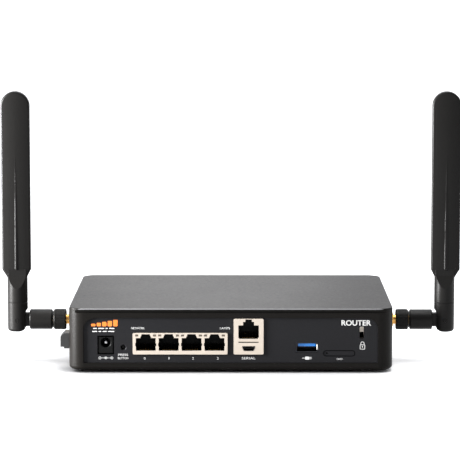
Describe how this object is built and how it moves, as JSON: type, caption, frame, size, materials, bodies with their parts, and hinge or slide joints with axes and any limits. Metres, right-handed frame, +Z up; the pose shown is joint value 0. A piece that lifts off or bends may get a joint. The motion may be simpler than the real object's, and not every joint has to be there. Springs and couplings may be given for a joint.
{
  "type": "wireless router",
  "caption": "Flat desktop network gateway with a recessed front socket panel and a hinged, swivelling paddle antenna screwed to each side.",
  "frame": {"origin": "on the surface under the feet, below the middle of the case", "axes": "+X to the right along the socket panel, +Y from the panel to the back, +Z up"},
  "size_m": [0.289, 0.15, 0.1708],
  "materials": {
    "case_black": "fine satin texture, very dark warm black",
    "panel_charcoal": "even charcoal with a faint blue cast",
    "jack_metal": "bright plated sheet, slightly warm",
    "data_port_metal": "dark nickel-plated sheet",
    "socket_black": "plain moulded black",
    "contact_gold": "gold-plated springs",
    "lamp_amber": "clear tan light guides",
    "tongue_blue": "bright blue moulding",
    "button_grey": "dark grey moulding",
    "antenna_black": "satin black moulding",
    "jack_gold": "gold-plated turned brass",
    "steel": "zinc-plated steel",
    "rubber_black": "dull black rubber",
    "board_green": "glass-fibre board with green mask",
    "chip_black": "moulded packages",
    "sink_aluminium": "extruded aluminium",
    "pad_grey": "soft grey pad",
    "insulator_white": "white fluoropolymer",
    "lead_black": "thin black coaxial jacket",
    "lens_clear": "clear light window"
  },
  "bodies": {
    "case": {"base_tray": "case_black", "top_cover": "case_black", "front_panel": "panel_charcoal", "foot_pads": "rubber_black", "cover_screws": "steel", "status_lens": "lens_clear", "main_board": "board_green", "board_screws": "steel", "processor": "chip_black", "thermal_pad": "pad_grey", "heat_sink": "sink_aluminium", "memory_chips": "chip_black", "capacitors": "chip_black", "modem_socket": "socket_black", "lte_modem": "board_green", "shield_can": "steel", "ethernet_jack_shell": "jack_metal", "ethernet_jack_insert": "socket_black", "ethernet_contacts": "contact_gold", "port_lamps": "lamp_amber", "console_jack_shell": "jack_metal", "console_jack_insert": "socket_black", "console_contacts": "contact_gold", "micro_socket_shell": "data_port_metal", "micro_socket_tongue": "socket_black", "usb_port_shell": "data_port_metal", "usb_port_tongue": "tongue_blue", "usb_contacts": "contact_gold", "dc_jack_body": "socket_black", "dc_jack_pin": "steel", "reset_switch": "socket_black", "sim_reader": "socket_black", "lock_plate": "jack_metal", "cord_clip": "case_black", "antenna_jacks": "jack_gold", "jack_insulators": "insulator_white", "jack_washers": "jack_gold", "jack_nuts": "jack_gold", "right_antenna_lead": "lead_black", "left_antenna_lead": "lead_black"},
    "reset_button": {"reset_plunger": "button_grey"},
    "card_tray": {"sim_tray": "panel_charcoal"},
    "left_stem": {"left_antenna_stem": "jack_gold", "left_centre_pin": "jack_gold"},
    "left_nut": {"left_coupling_nut": "antenna_black"},
    "left_barrel": {"left_swivel_barrel": "antenna_black"},
    "left_aerial": {"left_hinge_pin": "antenna_black", "left_knuckle": "antenna_black", "left_antenna_blade": "antenna_black", "left_radiator": "board_green"},
    "right_stem": {"right_antenna_stem": "jack_gold", "right_centre_pin": "jack_gold"},
    "right_nut": {"right_coupling_nut": "antenna_black"},
    "right_barrel": {"right_swivel_barrel": "antenna_black"},
    "right_aerial": {"right_hinge_pin": "antenna_black", "right_knuckle": "antenna_black", "right_antenna_blade": "antenna_black", "right_radiator": "board_green"}
  },
  "joints": [
    {"name": "reset_press", "type": "slide", "parent": "case", "child": "reset_button", "axis": [0, 1, 0], "range_m": [0, 0.0005], "stiffness_N_per_m": 800, "springref_m": -0.0005},
    {"name": "card_tray_slide", "type": "slide", "parent": "case", "child": "card_tray", "axis": [0, -1, 0], "range_m": [0, 0.024]},
    {"name": "left_unscrew", "type": "slide", "parent": "case", "child": "left_stem", "axis": [-1, 0, 0], "range_m": [0, 0.00564]},
    {"name": "left_nut_turn", "type": "hinge", "parent": "left_stem", "child": "left_nut", "pos_m": [-0.1085, -0.03, 0.0264], "axis": [-1, 0, 0], "range_deg": [0, 2880]},
    {"name": "left_swivel", "type": "hinge", "parent": "left_stem", "child": "left_barrel", "pos_m": [-0.115, -0.03, 0.0264], "axis": [-1, 0, 0], "continuous": true},
    {"name": "left_elbow", "type": "hinge", "parent": "left_barrel", "child": "left_aerial", "pos_m": [-0.135, -0.03, 0.0264], "axis": [0, -1, 0], "range_deg": [0, 90]},
    {"name": "right_unscrew", "type": "slide", "parent": "case", "child": "right_stem", "axis": [1, 0, 0], "range_m": [0, 0.00564]},
    {"name": "right_nut_turn", "type": "hinge", "parent": "right_stem", "child": "right_nut", "pos_m": [0.1085, -0.03, 0.0264], "axis": [1, 0, 0], "range_deg": [0, 2880]},
    {"name": "right_swivel", "type": "hinge", "parent": "right_stem", "child": "right_barrel", "pos_m": [0.115, -0.03, 0.0264], "axis": [1, 0, 0], "continuous": true},
    {"name": "right_elbow", "type": "hinge", "parent": "right_barrel", "child": "right_aerial", "pos_m": [0.135, -0.03, 0.0264], "axis": [0, 1, 0], "range_deg": [0, 90]}
  ],
  "couplings": [
    {"joint": "left_nut_turn", "follows": "left_unscrew", "rad_per_m": 8905.3},
    {"joint": "right_nut_turn", "follows": "right_unscrew", "rad_per_m": 8905.3}
  ]
}
